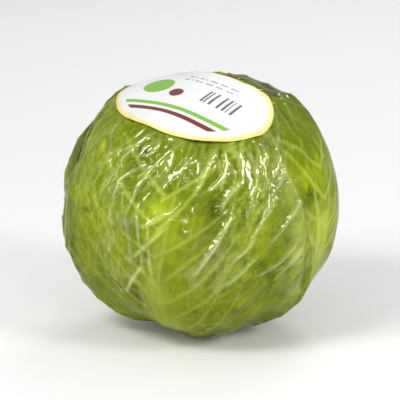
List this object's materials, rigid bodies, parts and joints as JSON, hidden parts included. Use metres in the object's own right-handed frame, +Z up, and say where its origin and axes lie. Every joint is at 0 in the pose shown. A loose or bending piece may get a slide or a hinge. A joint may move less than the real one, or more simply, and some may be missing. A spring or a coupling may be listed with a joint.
{
  "type": "iceberg lettuce",
  "caption": "Dense round head of iceberg lettuce: cupped wrapper leaves round a tight inner head on a cut stem, shrunk into a clear gathered film with an oval label on the crown.",
  "frame": {"origin": "on the ground, under the middle of the whole head", "axes": "+Z up from the cut stem to the crown, -Y towards the side that the label is tipped to"},
  "size_m": [0.1448, 0.1454, 0.1368],
  "materials": {
    "inner_leaf_green": "pale yellow-green leaf, satin",
    "outer_leaf_green": "yellow-green leaf with pale ribs, satin",
    "cut_stem_cream": "pale cream cut face, matte",
    "clear_film": "clear, thin, glossy and creased",
    "label_paper": "white satin paper with a pale yellow rim"
  },
  "bodies": {
    "root": {"inner_head": "inner_leaf_green", "wrapper_leaf_1": "inner_leaf_green", "wrapper_leaf_2": "inner_leaf_green", "wrapper_leaf_3": "inner_leaf_green", "wrapper_leaf_4": "inner_leaf_green", "wrapper_leaf_5": "outer_leaf_green", "wrapper_leaf_6": "outer_leaf_green", "wrapper_leaf_7": "outer_leaf_green", "wrapper_leaf_8": "outer_leaf_green", "cut_stem": "cut_stem_cream", "film_wrap": "clear_film", "oval_label": "label_paper"}
  },
  "joints": []
}
